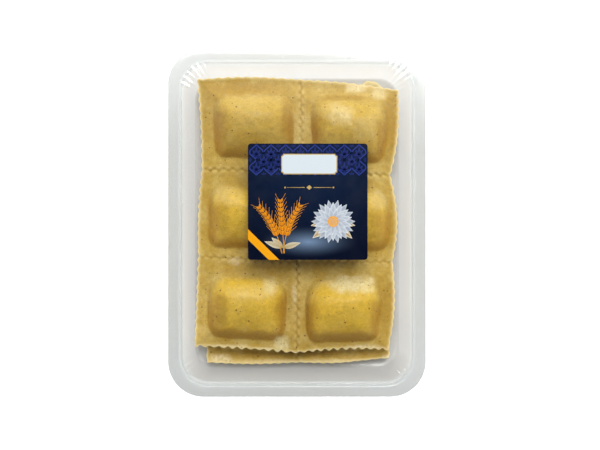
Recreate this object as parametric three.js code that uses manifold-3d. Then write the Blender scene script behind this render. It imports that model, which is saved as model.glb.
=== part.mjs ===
// A sealed retail tray of fresh ravioli, lying flat.
// Two sheets of joined ravioli, two across and three along, lie one on the other in a clear
// thermoformed tray. A thin film is sealed to the tray's flange and carries a square label.
// Millimetres, +Z up, origin at the middle of the tray's underside, +Y along the tray.

import * as THREE from 'three';
import { mergeVertices } from 'three/addons/utils/BufferGeometryUtils.js';
import Module from 'manifold-3d';

const wasm = await Module();
wasm.setup();

// Tray: a drawn plastic sheet of one thickness.
const TRAY_WIDTH = 138;
const TRAY_LENGTH = 186;
const TRAY_HEIGHT = 35;
const TRAY_CORNER = 19;
const WALL = 0.6;
const FLANGE = 6.1;
const LIP_DROP = 1.4;
const STEP_DROP = 2.8;
const STEP_WIDTH = 1.8;
const DRAFT = 4.2;
const FLOOR_FILLET = 2.2;
// Corners tighten as the wall goes in, down to a least radius.
const CORNER_TIGHTENING = 0.62;
const CORNER_LEAST = 10;
const CORNER_STEPS = 8;

// Film and label: thin sheets, each a hair above what carries it.
const FILM_THICKNESS = 0.15;
const LABEL_THICKNESS = 0.15;
const LAY_GAP = 0.02;
const LABEL_WIDTH = 64;
const LABEL_LENGTH = 62.2;
const LABEL_CORNER = 1.6;
const LABEL_X = 5.8;
const LABEL_Y = 11.4;

// Ravioli: each is a cell of the sheet, a filled pillow inside a flat margin.
const COLUMNS = 2;
const ROWS = 3;
const DOUGH = 2.2;
// A pillow leans to the far end of the pack, where its side is long and soft; its near side is
// rounder, and its left and right sides are short and steep under a flat top.
const CROWN_TO_FAR = 4.5;
const OUTLINE_SQUARENESS = { far: 4.2, near: 6.5 };
const CROWN_FLATNESS = { far: 1.6, near: 1.75, side: 3.4 };
const FOOT_STEEPNESS = { far: 0.95, near: 0.88, side: 0.72 };
const SEAM_DEPTH = 0.9;
const PINK_PITCH = 4.9;
const PINK_DEPTH = { bottom: 1.1, right: 0.4, top: 0.5, left: 0.55 };
const RIM_REACH = 12;
const RISE_SPREAD = 0.04;
const RIPPLE_LENGTH = 14;
const LAYER_GAP = 0.6;
const SLAB_MARGIN = 9;
// Where the surface has its lines: a seam's edge as a share of the cell, and from a pillow's foot
// to its crown. On the seams the lines lie as they would for a plain pillow in the cell's middle.
const SEAM_EDGE = 0.03;
const FOOT_TO_CROWN = [0, 0.1, 0.28, 0.6, 1];
const LINES_PER_CELL = 2 * FOOT_TO_CROWN.length + 2;
const PLAIN_SPAN = { foot: 0.12, farFoot: 0.88, crown: 0.5 };
const SPAN_BLEND = 0.1;

// The margins are the flat dough between a cell's seams and its pillow, by column and row, and
// crownShift is how far the highest place lies from the pillow's middle, across the sheet.

// The lower sheet lies flat on the tray's floor. Its rim turns up a little, most at the near end.
const LOWER_SHEET = {
  underside: 1.0,
  rise: 12.4,
  rimLift: 1.1,
  nearLift: 3.5,
  ripple: 0,
  seamX: [-50.0, 0.4, 51.3].map((x) => Array(ROWS + 1).fill(x)),
  seamY: Array(COLUMNS + 1).fill([74.5, 23.5, -27.5, -77.3]),
  margin: {
    left: [[6.2, 6.0, 6.4], [6.0, 6.4, 6.2]],
    right: [[6.0, 6.4, 6.2], [6.4, 6.2, 6.0]],
    far: [[7.0, 6.6, 6.8], [6.8, 7.0, 6.6]],
    near: [[6.6, 7.0, 6.4], [6.8, 6.4, 6.2]],
  },
  crownShift: [[1, -1, 0], [0, 1, -1]],
  bulge: { left: [0.6, 0.4, 0.3], right: [0.5, 0.6, 0.2], top: [0.6, 0.4], bottom: [0.9, 0.5] },
  // One stretched place on the far edge.
  ear: { x: 41, halfWidth: 8, reach: 4.6 },
};

// The upper sheet lies on the pillows of the lower one, and its rim hangs between and outside them.
const UPPER_SHEET = {
  underside: 16.0,
  rise: 13.2,
  rimLift: -3.2,
  nearLift: 0,
  ripple: 0.45,
  seamX: [
    [-54.7, -52.2, -54.2, -56.2],
    [2.2, 2.5, 0.3, -0.2],
    [55.7, 51.3, 52.5, 50.3],
  ],
  seamY: [
    [79.0, 29.2, -18.5, -67.4],
    [78.8, 28.5, -21.3, -71.2],
    [73.1, 26.0, -21.4, -69.4],
  ],
  margin: {
    left: [[8.1, 5.4, 6.9], [6.0, 6.2, 5.2]],
    right: [[4.6, 6.2, 6.0], [5.2, 2.7, 6.2]],
    far: [[7.3, 8.2, 8.6], [6.7, 7.7, 8.6]],
    near: [[6.7, 6.0, 5.7], [6.4, 6.0, 4.8]],
  },
  crownShift: [[-4, -1, -1], [3.5, -1, 0]],
  bulge: { left: [-0.6, 1.0, 0], right: [2.0, 3.2, 2.2], top: [1.5, 1.0], bottom: [0.3, -0.6] },
  ear: null,
};

// A rounded rectangle as a closed ring of points, the same number whatever its size.
function roundedRing(halfWidth, halfLength, radius) {
  const ring = [];
  for (let corner = 0; corner < 4; corner += 1) {
    const signX = corner === 0 || corner === 3 ? 1 : -1;
    const signY = corner < 2 ? 1 : -1;
    for (let step = 0; step <= CORNER_STEPS; step += 1) {
      const turn = (Math.PI / 2) * (corner + step / CORNER_STEPS);
      ring.push(new THREE.Vector2(
        signX * (halfWidth - radius) + radius * Math.cos(turn),
        signY * (halfLength - radius) + radius * Math.sin(turn),
      ));
    }
  }
  return ring;
}

// A closed skin through rings of equal count, with a flat cap on the first and the last.
function skinThroughRings(rings) {
  const count = rings[0].points.length;
  const positions = rings.flatMap((ring) => ring.points.flatMap((p) => [p.x, p.y, ring.z]));
  const faces = [];
  for (let r = 0; r + 1 < rings.length; r += 1) {
    for (let k = 0; k < count; k += 1) {
      const next = (k + 1) % count;
      const [a, b] = [r * count + k, r * count + next];
      faces.push(a, b, b + count, a, b + count, a + count);
    }
  }
  const capFaces = THREE.ShapeUtils.triangulateShape(rings[0].points, []);
  const last = (rings.length - 1) * count;
  for (const [a, b, c] of capFaces) {
    faces.push(c, b, a);
    faces.push(last + a, last + b, last + c);
  }
  const geometry = new THREE.BufferGeometry();
  geometry.setAttribute('position', new THREE.Float32BufferAttribute(positions, 3));
  geometry.setIndex(faces);
  return geometry;
}

// The tray's section from the middle of the underside, out and up to the lip, over the flange,
// and down inside to the middle of the floor. Each entry is the inset from the outer edge and a height.
function traySection() {
  const stepFoot = FLANGE + STEP_WIDTH;
  const floorEdge = stepFoot + DRAFT;
  const stepZ = TRAY_HEIGHT - STEP_DROP;
  const filletMiddle = (1 - Math.SQRT1_2) * FLOOR_FILLET;
  return [
    { inset: floorEdge + FLOOR_FILLET, z: 0 },
    { inset: floorEdge - WALL + filletMiddle, z: filletMiddle },
    { inset: floorEdge - WALL, z: FLOOR_FILLET },
    { inset: stepFoot - WALL, z: stepZ - WALL },
    { inset: FLANGE - WALL, z: stepZ - WALL },
    { inset: FLANGE - WALL, z: TRAY_HEIGHT - WALL },
    { inset: WALL, z: TRAY_HEIGHT - WALL },
    { inset: WALL, z: TRAY_HEIGHT - LIP_DROP },
    { inset: 0, z: TRAY_HEIGHT - LIP_DROP },
    { inset: 0, z: TRAY_HEIGHT - WALL / 2 },
    { inset: WALL / 2, z: TRAY_HEIGHT },
    { inset: FLANGE, z: TRAY_HEIGHT },
    { inset: FLANGE + WALL / 2, z: stepZ },
    { inset: stepFoot, z: stepZ },
    { inset: floorEdge, z: FLOOR_FILLET + WALL },
    { inset: floorEdge + filletMiddle, z: WALL + filletMiddle },
    { inset: floorEdge + FLOOR_FILLET, z: WALL },
  ];
}

function trayGeometry() {
  const rings = traySection().map(({ inset, z }) => ({
    points: roundedRing(TRAY_WIDTH / 2 - inset, TRAY_LENGTH / 2 - inset, cornerAt(inset)),
    z,
  }));
  return skinThroughRings(rings);
}

function cornerAt(inset) {
  return Math.max(TRAY_CORNER - CORNER_TIGHTENING * inset, CORNER_LEAST);
}

// A flat sheet with rounded corners.
function sheetGeometry(width, length, radius, thickness) {
  const outline = new THREE.Shape(roundedRing(width / 2, length / 2, radius));
  return new THREE.ExtrudeGeometry(outline, { depth: thickness, bevelEnabled: false });
}

const mix = THREE.MathUtils.lerp;
const smooth = THREE.MathUtils.smoothstep;

// The cell that holds a place on the sheet, and how far across and along it the place is.
function cellAt(u, v) {
  const column = THREE.MathUtils.clamp(Math.floor(u), 0, COLUMNS - 1);
  const row = THREE.MathUtils.clamp(Math.floor(v), 0, ROWS - 1);
  return { column, row, across: u - column, along: v - row };
}

// A place on the sheet in seam coordinates, 0 to COLUMNS across and 0 to ROWS along, as X and Y.
function placeOnSheet(sheet, u, v) {
  const { column, row, across, along } = cellAt(u, v);
  const between = (seams) => mix(
    mix(seams[column][row], seams[column + 1][row], across),
    mix(seams[column][row + 1], seams[column + 1][row + 1], across),
    along,
  );
  return new THREE.Vector2(between(sheet.seamX), between(sheet.seamY));
}

// The half width and half length of a cell.
function cellHalfSize(sheet, column, row) {
  const { seamX, seamY } = sheet;
  const width = seamX[column + 1][row] + seamX[column + 1][row + 1]
    - seamX[column][row] - seamX[column][row + 1];
  const length = seamY[column][row] + seamY[column + 1][row]
    - seamY[column][row + 1] - seamY[column + 1][row + 1];
  return { x: width / 4, y: length / 4 };
}

// A pillow's feet and crown as shares of its cell, across it and along it.
function pillowSpan(sheet, column, row) {
  const half = cellHalfSize(sheet, column, row);
  const span = (size, before, after, shift) => {
    const foot = sheet.margin[before][column][row] / size;
    const farFoot = 1 - sheet.margin[after][column][row] / size;
    return { foot, farFoot, crown: (foot + farFoot) / 2 + shift / size };
  };
  return {
    across: span(2 * half.x, 'left', 'right', sheet.crownShift[column][row]),
    along: span(2 * half.y, 'far', 'near', -CROWN_TO_FAR),
  };
}

// How far a place is from a pillow's crown towards its feet, from -1 at the first to 1 at the other.
function towardsFoot(place, { foot, farFoot, crown }) {
  return (place - crown) / (place < crown ? crown - foot : farFoot - crown);
}

// How high the filling lifts the dough, from 0 at the pillow's foot to about 1 at its crown.
// No two pillows hold quite the same filling.
function pillowHeight(sheet, u, v) {
  const { column, row, across, along } = cellAt(u, v);
  const span = pillowSpan(sheet, column, row);
  const a = towardsFoot(across, span.across);
  const b = towardsFoot(along, span.along);
  const end = b < 0 ? 'far' : 'near';
  const lengthways = b ** 2 / (a ** 2 + b ** 2 + Number.EPSILON);
  const towards = (shape) => mix(shape.side, shape[end], lengthways);
  const squareness = OUTLINE_SQUARENESS[end];
  const reach = (Math.abs(a) ** squareness + Math.abs(b) ** squareness) ** (1 / squareness);
  const filling = 1 - RISE_SPREAD * (1 + Math.sin(2 * column + 3 * row)) / 2;
  return reach < 1 ? filling * (1 - reach ** towards(CROWN_FLATNESS)) ** towards(FOOT_STEEPNESS) : 0;
}

// The underside of the flat dough: level inside, lifted or hanging along the sheet's rim, and
// lifted more at its near end.
function doughUnderside(sheet, u, v, place) {
  const half = cellHalfSize(sheet, 0, 0);
  const toNear = (ROWS - v) * 2 * half.y;
  const toRim = Math.min(u * 2 * half.x, (COLUMNS - u) * 2 * half.x, v * 2 * half.y, toNear);
  const rim = 1 - smooth(toRim, 0, RIM_REACH);
  const near = 1 - smooth(toNear, 0, RIM_REACH);
  const wave = Math.sin((place.x + place.y) / RIPPLE_LENGTH)
    * Math.cos((place.y - place.x / 2) / RIPPLE_LENGTH);
  return sheet.underside + sheet.rimLift * rim + sheet.nearLift * near + sheet.ripple * wave;
}

function topOfSheet(sheet, u, v, place) {
  const onSeam = (t, count) => Math.abs(t - Math.round(t)) < 0.01 && t > 0.5 && t < count - 0.5;
  const seam = onSeam(u, COLUMNS) || onSeam(v, ROWS) ? SEAM_DEPTH : 0;
  return doughUnderside(sheet, u, v, place) + DOUGH - seam + sheet.rise * pillowHeight(sheet, u, v);
}

// The lower sheet's seams are straight, so a place on it is found from X and Y.
function topOfLowerSheet(place) {
  const { seamX, seamY } = LOWER_SHEET;
  const u = COLUMNS * (place.x - seamX[0][0]) / (seamX[COLUMNS][0] - seamX[0][0]);
  const v = ROWS * (place.y - seamY[0][0]) / (seamY[0][ROWS] - seamY[0][0]);
  return topOfSheet(LOWER_SHEET, u, v, place);
}

// The soft underside of the upper sheet takes the shape of the pillows that it lies on.
function undersideOfSheet(sheet, u, v, place) {
  const own = doughUnderside(sheet, u, v, place);
  return sheet === UPPER_SHEET ? Math.max(own, topOfLowerSheet(place) + LAYER_GAP) : own;
}

// The surface's lines across a cell: seam, seam's edge, foot, crown, far foot, edge and seam.
function cellLines({ foot, farFoot, crown }) {
  const rising = FOOT_TO_CROWN.map((share) => mix(foot, crown, share));
  const falling = FOOT_TO_CROWN.slice(0, -1).reverse().map((share) => mix(farFoot, crown, share));
  return [0, SEAM_EDGE, ...rising, ...falling, 1 - SEAM_EDGE, 1];
}

// Which cell a grid line is in, and its number there. The first and the last line lie outside.
function lineInCell(index, cells) {
  const inner = THREE.MathUtils.clamp(index - 1, 0, cells * LINES_PER_CELL);
  const cell = Math.min(Math.floor(inner / LINES_PER_CELL), cells - 1);
  return { cell, line: inner - cell * LINES_PER_CELL };
}

// Where two grid lines cross, in seam coordinates.
function gridCrossing(sheet, i, j) {
  const half = cellHalfSize(sheet, 0, 0);
  const plain = cellLines(PLAIN_SPAN);
  const { cell: column, line: lineU } = lineInCell(i, COLUMNS);
  const { cell: row, line: lineV } = lineInCell(j, ROWS);
  const span = pillowSpan(sheet, column, row);
  const inside = (share) => smooth(Math.min(share, 1 - share), 0, SPAN_BLEND);
  const place = (cell, line, own, otherLine) => cell
    + mix(plain[line], cellLines(own)[line], inside(plain[otherLine]));
  const outside = (index, cells) => (index === 0 ? -1 : 0) + (index === cells * LINES_PER_CELL + 2 ? 1 : 0);
  return {
    u: place(column, lineU, span.across, lineV) + outside(i, COLUMNS) * SLAB_MARGIN / (2 * half.x),
    v: place(row, lineV, span.along, lineU) + outside(j, ROWS) * SLAB_MARGIN / (2 * half.y),
  };
}

// The sheet before it is cut out: a slab with the pillows in its upper face.
function slabGeometry(sheet) {
  const stripsU = COLUMNS * LINES_PER_CELL + 2;
  const stripsV = ROWS * LINES_PER_CELL + 2;
  const slab = new THREE.BoxGeometry(1, 1, 1, stripsU, stripsV, 1);
  const position = slab.getAttribute('position');
  for (let k = 0; k < position.count; k += 1) {
    const i = Math.round((position.getX(k) + 0.5) * stripsU);
    const j = Math.round((0.5 - position.getY(k)) * stripsV);
    const { u, v } = gridCrossing(sheet, i, j);
    const place = placeOnSheet(sheet, u, v);
    const height = position.getZ(k) > 0 ? topOfSheet : undersideOfSheet;
    position.setXYZ(k, place.x, place.y, height(sheet, u, v, place));
  }
  return slab;
}

// The waved outline that a pastry wheel leaves, two points to a wave, anticlockwise.
function pinkedOutline(sheet) {
  const sides = [
    { from: [0, ROWS], to: [COLUMNS, ROWS], side: 'bottom', bulge: sheet.bulge.bottom },
    { from: [COLUMNS, ROWS], to: [COLUMNS, 0], side: 'right', bulge: [...sheet.bulge.right].reverse() },
    { from: [COLUMNS, 0], to: [0, 0], side: 'top', bulge: [...sheet.bulge.top].reverse() },
    { from: [0, 0], to: [0, ROWS], side: 'left', bulge: sheet.bulge.left },
  ];
  const points = [];
  for (const { from, to, side, bulge } of sides) {
    const start = placeOnSheet(sheet, ...from);
    const end = placeOnSheet(sheet, ...to);
    const along = end.clone().sub(start).normalize();
    const outward = new THREE.Vector2(along.y, -along.x);
    const waves = Math.round(start.distanceTo(end) / PINK_PITCH);
    for (let k = 0; k < 2 * waves; k += 1) {
      const t = k / (2 * waves);
      const place = placeOnSheet(sheet, mix(from[0], to[0], t), mix(from[1], to[1], t));
      const cell = Math.min(Math.floor(t * bulge.length), bulge.length - 1);
      const swell = bulge[cell] * Math.sin(Math.PI * (t * bulge.length - cell));
      const wave = PINK_DEPTH[side] * (k % 2 - 0.5);
      const ear = side === 'top' ? earReach(sheet, place.x) : 0;
      points.push(place.addScaledVector(outward, swell + wave + ear));
    }
  }
  return points;
}

// How far the stretched place stands out of the sheet's far edge.
function earReach(sheet, x) {
  if (!sheet.ear) return 0;
  const away = Math.abs(x - sheet.ear.x) / sheet.ear.halfWidth;
  return away < 1 ? sheet.ear.reach * Math.cos(away * Math.PI / 2) : 0;
}

// A closed geometry as a solid that can be cut, and a solid back as a geometry.
function toSolid(geometry) {
  const bare = geometry.clone();
  bare.deleteAttribute('normal');
  bare.deleteAttribute('uv');
  const merged = mergeVertices(bare, 1e-4);
  return new wasm.Manifold(new wasm.Mesh({
    numProp: 3,
    vertProperties: new Float32Array(merged.getAttribute('position').array),
    triVerts: new Uint32Array(merged.getIndex().array),
  }));
}

function toGeometry(solid) {
  const mesh = solid.getMesh();
  const geometry = new THREE.BufferGeometry();
  geometry.setAttribute('position', new THREE.BufferAttribute(mesh.vertProperties, 3));
  geometry.setIndex(new THREE.BufferAttribute(mesh.triVerts, 1));
  return geometry;
}

// A sheet of joined ravioli: the slab cut to its waved outline.
function ravioliGeometry(sheet) {
  const cutter = new THREE.ExtrudeGeometry(new THREE.Shape(pinkedOutline(sheet)), {
    depth: 2 * TRAY_HEIGHT,
    bevelEnabled: false,
  });
  cutter.translate(0, 0, -TRAY_HEIGHT / 2);
  return toGeometry(toSolid(slabGeometry(sheet)).intersect(toSolid(cutter)));
}

function addPiece(group, name, geometry, material, x, y, z) {
  const mesh = new THREE.Mesh(geometry, material);
  mesh.name = name;
  mesh.position.set(x, y, z);
  group.add(mesh);
}

const clearPlastic = new THREE.MeshStandardMaterial({
  color: 0xe9eef0, roughness: 0.25, metalness: 0, transparent: true, opacity: 0.4,
});
const clearFilm = new THREE.MeshStandardMaterial({
  color: 0xf4f6f6, roughness: 0.08, metalness: 0, transparent: true, opacity: 0.15,
});
const printedPaper = new THREE.MeshStandardMaterial({ color: 0x12203f, roughness: 0.35, metalness: 0 });
const eggDough = new THREE.MeshStandardMaterial({ color: 0xc9a54e, roughness: 0.55, metalness: 0 });

const pack = new THREE.Group();
const filmZ = TRAY_HEIGHT + LAY_GAP;
const labelZ = filmZ + FILM_THICKNESS + LAY_GAP;
addPiece(pack, 'tray', trayGeometry(), clearPlastic, 0, 0, 0);
addPiece(pack, 'ravioli_sheet_lower', ravioliGeometry(LOWER_SHEET), eggDough, 0, 0, 0);
addPiece(pack, 'ravioli_sheet_upper', ravioliGeometry(UPPER_SHEET), eggDough, 0, 0, 0);
addPiece(pack, 'lid_film', sheetGeometry(TRAY_WIDTH, TRAY_LENGTH, TRAY_CORNER, FILM_THICKNESS),
  clearFilm, 0, 0, filmZ);
addPiece(pack, 'label', sheetGeometry(LABEL_WIDTH, LABEL_LENGTH, LABEL_CORNER, LABEL_THICKNESS),
  printedPaper, LABEL_X, LABEL_Y, labelZ);

export default pack;
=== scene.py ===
from math import cos, pi, sin

import bpy
import numpy as np
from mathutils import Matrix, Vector


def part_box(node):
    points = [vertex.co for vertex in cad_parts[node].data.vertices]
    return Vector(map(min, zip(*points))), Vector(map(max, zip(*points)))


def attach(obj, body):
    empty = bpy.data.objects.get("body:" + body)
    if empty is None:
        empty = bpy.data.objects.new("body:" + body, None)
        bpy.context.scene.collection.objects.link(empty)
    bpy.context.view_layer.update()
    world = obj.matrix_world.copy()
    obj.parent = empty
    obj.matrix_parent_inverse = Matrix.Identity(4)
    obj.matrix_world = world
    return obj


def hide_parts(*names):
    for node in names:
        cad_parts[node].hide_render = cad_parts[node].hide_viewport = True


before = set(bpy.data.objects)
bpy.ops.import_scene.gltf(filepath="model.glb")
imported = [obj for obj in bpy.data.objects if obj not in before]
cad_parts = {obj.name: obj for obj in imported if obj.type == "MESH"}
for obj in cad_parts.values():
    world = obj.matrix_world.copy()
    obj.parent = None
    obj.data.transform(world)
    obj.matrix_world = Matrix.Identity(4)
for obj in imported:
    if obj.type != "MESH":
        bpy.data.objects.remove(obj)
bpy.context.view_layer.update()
MM = 0.001


# ---------------------------------------------------------------------------
# The table and the light.
# The pack lies on a white table by a window: one broad soft light from the far
# end of the pack, a weak fill all round, and the camera straight above it.

CAMERA_HEIGHT = 0.70                 # above the tray's flange
VIEW_WIDTH = 0.321                   # of the flange's plane, across the picture
VIEW_CENTRE = (0.00166, -0.00107)
SENSOR_WIDTH = 36.0


def put(name, contents):
    """A new object at the origin."""
    piece = bpy.data.objects.new(name, contents)
    bpy.context.scene.collection.objects.link(piece)
    return piece


lens = bpy.data.cameras.new("camera")
lens.sensor_width = SENSOR_WIDTH
lens.lens = SENSOR_WIDTH * CAMERA_HEIGHT / VIEW_WIDTH
camera = put("camera", lens)
camera.location = (*VIEW_CENTRE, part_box("tray")[1].z + CAMERA_HEIGHT)
bpy.context.scene.camera = camera
bpy.context.scene.view_settings.view_transform = "Standard"

WINDOW_PLACE = Vector((0.17, 0.64, 1.30))
window = bpy.data.lights.new("window", "AREA")
window.shape = "RECTANGLE"
window.size, window.size_y = 0.87, 0.81
window.energy = 20.2
window.color = (1.0, 0.99, 0.975)
softbox = put("window", window)
softbox.location = WINDOW_PLACE
softbox.rotation_euler = (-WINDOW_PLACE).to_track_quat("-Z", "Y").to_euler()


class Recipe:
    """The nodes of a room, of a finish or of a repeated ornament."""

    def __init__(self, owner, kinds="ShaderNode"):
        self.tree, self.kinds = getattr(owner, "node_tree", owner), kinds

    def feed(self, inputs, values):
        """Gives inputs plain values, or links them to the outputs that feed them."""
        for name, value in values.items():
            taker = inputs[name.replace("_", " ") if isinstance(name, str) else name]
            if isinstance(value, bpy.types.NodeSocket):
                self.tree.links.new(value, taker)
            else:
                taker.default_value = (*value, 1) if taker.type == "RGBA" else value

    def __call__(self, kind, *values, out=0, **named):
        """A new node's output, or all of them. Inputs are given in order or by a name with a capital,
        with _ for a space, and the node's settings by a name without one."""
        new = self.tree.nodes.new(kind if "Node" in kind else self.kinds + kind)
        for name, value in named.items():
            if name[0].islower():
                setattr(new, name, value)
        self.feed(new.inputs, dict(enumerate(values)))
        self.feed(new.inputs, {name: value for name, value in named.items() if name[0].isupper()})
        return new.outputs if out is None else new.outputs[out]

    def maths(self, operation, *values, **settings):
        return self("ShaderNodeMath", *values, operation=operation, **settings)

    def times(self, first, second):
        return self.maths("MULTIPLY", first, second)

    def vector(self, **axes):
        return self("ShaderNodeCombineXYZ", **axes)

    def axes(self, vector):
        return self("ShaderNodeSeparateXYZ", vector, out=None)

    def ranged(self, value, low, high, to_low=0, to_high=1):
        """A value moved from one range to another, and held inside it."""
        return self("ShaderNodeMapRange", value, low, high, to_low, to_high)

    def mixed(self, factor, first, second, blend="MIX"):
        """A colour between two, by a factor."""
        mix = self.tree.nodes.new("ShaderNodeMix")
        mix.data_type, mix.blend_type = "RGBA", blend
        self.feed(mix.inputs, {0: factor, 6: first, 7: second})
        return mix.outputs[2]

    def place(self):
        return self("TexCoord", out="Object")

    def noise(self, vector, scale, detail=2, roughness=0.5):
        return self("TexNoise", Vector=vector, Scale=scale, Detail=detail, Roughness=roughness)


# The room: pale low down, dimmer higher up and dark overhead, where the camera is, and dark
# behind the near end. The pale wall over the window begins right beside the camera, and the
# film shows it at the far end of the pack.
ROOM_LOW, ROOM_SIDES, ROOM_OVERHEAD, ROOM_BEHIND = 4.4, 0.55, 0.06, 0.03
LOW_TO, OVERHEAD_FROM, OVER_WINDOW = (0, 0.36), (0.55, 0.95), (0.055, 0.13)
world = bpy.data.worlds.new("room")
bpy.context.scene.world = world
world.use_nodes = True
room = Recipe(world)
looking = room.axes(room("TexCoord", out="Generated"))
over = room.maths("MAXIMUM", room.ranged(looking["Z"], *OVERHEAD_FROM, ROOM_SIDES, ROOM_OVERHEAD),
                  room.ranged(looking["Y"], *OVER_WINDOW, ROOM_OVERHEAD, ROOM_SIDES))
level = room.maths("MAXIMUM", room.ranged(looking["Z"], *LOW_TO, ROOM_LOW, 0), over)
not_behind = room.ranged(looking["Y"], -1, 0, ROOM_BEHIND, 1)
room.feed(world.node_tree.nodes["Background"].inputs,
          {"Strength": room.times(level, not_behind), "Color": (1.0, 0.99, 0.97)})


class Finish(Recipe):
    """A new material with a Principled shader, whose inputs are given by name."""

    def __init__(self, name, **values):
        self.made = bpy.data.materials.new(name)
        self.made.use_nodes = True
        super().__init__(self.made)
        self.shader = self.tree.nodes["Principled BSDF"]
        self.give(**values)

    def give(self, **values):
        self.feed(self.shader.inputs, values)

    def bump(self, height, strength, distance, **under):
        return self("Bump", Height=height, Strength=strength, Distance=distance, **under)


def mesh_piece(name, points, faces, finish=None, smooth=True):
    """A new object at the origin from points in metres and lists of point numbers."""
    mesh = bpy.data.meshes.new(name)
    mesh.from_pydata([tuple(p) for p in points], [], faces)
    mesh.update()
    mesh.polygons.foreach_set("use_smooth", [smooth] * len(mesh.polygons))
    if finish:
        mesh.materials.append(finish.made)
    return put(name, mesh)


TABLE_SIZE = 6.0
TABLE_DROP = 0.0001                  # a hair under the tray's foot, so that the foot hides nothing
table_white = Finish("table_white", Base_Color=(0.72, 0.72, 0.72), Roughness=0.9,
                     Emission_Color=(1, 1, 1))
# Seen straight, not through the plastic, the ground is burnt out to white.
path = table_white("LightPath", out=None)
bare = table_white.maths("SUBTRACT", path["Is Camera Ray"], path["Transparent Depth"], use_clamp=True)
table_white.give(Emission_Strength=table_white.maths("MULTIPLY_ADD", bare, 0.8, 0.03))
table_corners = [(x * TABLE_SIZE / 2, y * TABLE_SIZE / 2, -TABLE_DROP)
                 for x, y in ((-1, -1), (1, -1), (1, 1), (-1, 1))]
table = mesh_piece("table", table_corners, [(0, 1, 2, 3)], table_white, smooth=False)


# ---------------------------------------------------------------------------
# The tray: one sheet of clear plastic, drawn warm into a mould.
# It has a flat flange for the film with a turned-down lip, a step under the
# flange, drafted walls, fluted corners and a floor that stands on a foot.

WALL = 0.6
FLANGE = 6.1
LIP_DROP = 1.4
STEP_DROP = 2.8
STEP_WIDTH = 1.8
DRAFT = 4.2
FLOOR_FILLET = 2.2
RIM_BEND = 0.9
BEND = 0.5
OUTER_CORNER = 19.0
CORNER_TIGHTENING = 0.62
CORNER_LEAST = 10.0
CORNER_STEPS = 28
SIDE_STEPS = 12
FLUTES = 5
FLUTE_DEPTH = 0.35
FLUTE_FOOT = (3.0, 9.0)              # the heights between which the flutes begin
FLUTE_HEAD = (5.0, 0.8)              # the depths under the step between which they end
FOOT_WIDTH = 7.0
FOOT_HEIGHT = 0.3
FOOT_SLOPE = 1.0
FLOOR_RING = 4.0
PAINTED_TINT_DEPTHS = (8.0, 2.0)              # the depths over which the colour turns from a cool painted reflection at the flange to warmer, slightly darker painted shade lower down
MILKINESS = 0.88
VEIL = (0.38, 0.88)                  # how much it hides, seen straight and edge on
LET_THROUGH = 0.55
GLINT = 0.055

tray_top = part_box("tray")[1] / MM


def ease(x, low, high):
    """From 0 at a low value to 1 at a high one, level at both."""
    t = np.clip((x - low) / (high - low), 0, 1)
    return t * t * (3 - 2 * t)


def corner_radius(inset):
    return max(OUTER_CORNER - CORNER_TIGHTENING * inset, CORNER_LEAST)


def rounded_ring(half_x, half_y, radius):
    """Points round a rectangle with round corners, and how far round its corner each lies."""
    quarter = np.linspace(0, pi / 2, CORNER_STEPS + 1)
    corners = [(1, 1), (-1, 1), (-1, -1), (1, -1)]
    middles = [np.array([sx * (half_x - radius), sy * (half_y - radius)]) for sx, sy in corners]
    points, round_corner = [], []
    for k, middle in enumerate(middles):
        turn = quarter + k * pi / 2
        arc = middle + radius * np.stack([np.cos(turn), np.sin(turn)], 1)
        along = middles[(k + 1) % 4] - middle
        side = arc[-1] + np.linspace(0, 1, SIDE_STEPS + 1)[1:-1, None] * along
        points += [arc, side]
        round_corner += [np.linspace(0, 1, CORNER_STEPS + 1), np.zeros(SIDE_STEPS - 1)]
    return np.concatenate(points), np.concatenate(round_corner)


def ring_faces(rings, count):
    """The faces that join closed rings of count points, one ring after another."""
    number = np.arange(rings * count).reshape(rings, count)
    after = np.roll(number, -1, axis=1)
    return np.stack([number[:-1], after[:-1], after[1:], number[1:]], 2).reshape(-1, 4).tolist()


def bend(before, corner, after, radius, steps=5):
    """The points of a round bend where a section turns a corner."""
    before, corner, after = (np.array(p, float) for p in (before, corner, after))
    start, end = (corner + (p - corner) / np.linalg.norm(p - corner)
                  * min(radius, np.linalg.norm(p - corner) * 0.48) for p in (before, after))
    t = np.linspace(0, 1, steps)[:, None]
    return (1 - t) ** 2 * start + 2 * t * (1 - t) * corner + t ** 2 * end


def tray_section():
    """Inset from the outer edge and height, from under the floor's middle to above it."""
    step_foot = FLANGE + STEP_WIDTH
    floor_edge = step_foot + DRAFT
    foot = floor_edge + FOOT_WIDTH
    floor = foot + FLOOR_RING
    top, step = tray_top.z, tray_top.z - STEP_DROP
    outside = [(floor, FOOT_HEIGHT), (foot, FOOT_HEIGHT), (foot - FOOT_SLOPE, 0), (floor_edge - WALL, 0),
               (step_foot - WALL, step - WALL), (FLANGE - WALL, step - WALL),
               (FLANGE - WALL, top - WALL), (WALL, top - WALL), (WALL, top - LIP_DROP)]
    inside = [(0, top - LIP_DROP), (0, top), (FLANGE, top), (FLANGE + WALL / 2, step),
              (step_foot, step), (floor_edge, WALL), (foot - FOOT_SLOPE, WALL),
              (foot, WALL + FOOT_HEIGHT), (floor, WALL + FOOT_HEIGHT)]
    corners = outside + inside
    radii = {(floor_edge - WALL, 0): FLOOR_FILLET, (floor_edge, WALL): FLOOR_FILLET,
             (FLANGE, top): RIM_BEND, (step_foot, step): RIM_BEND}
    bends = [bend(before, corner, after, radii.get(corner, BEND))
             for before, corner, after in zip(corners, corners[1:], corners[2:])]
    return np.concatenate([[corners[0]], *bends, [corners[-1]]])


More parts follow.
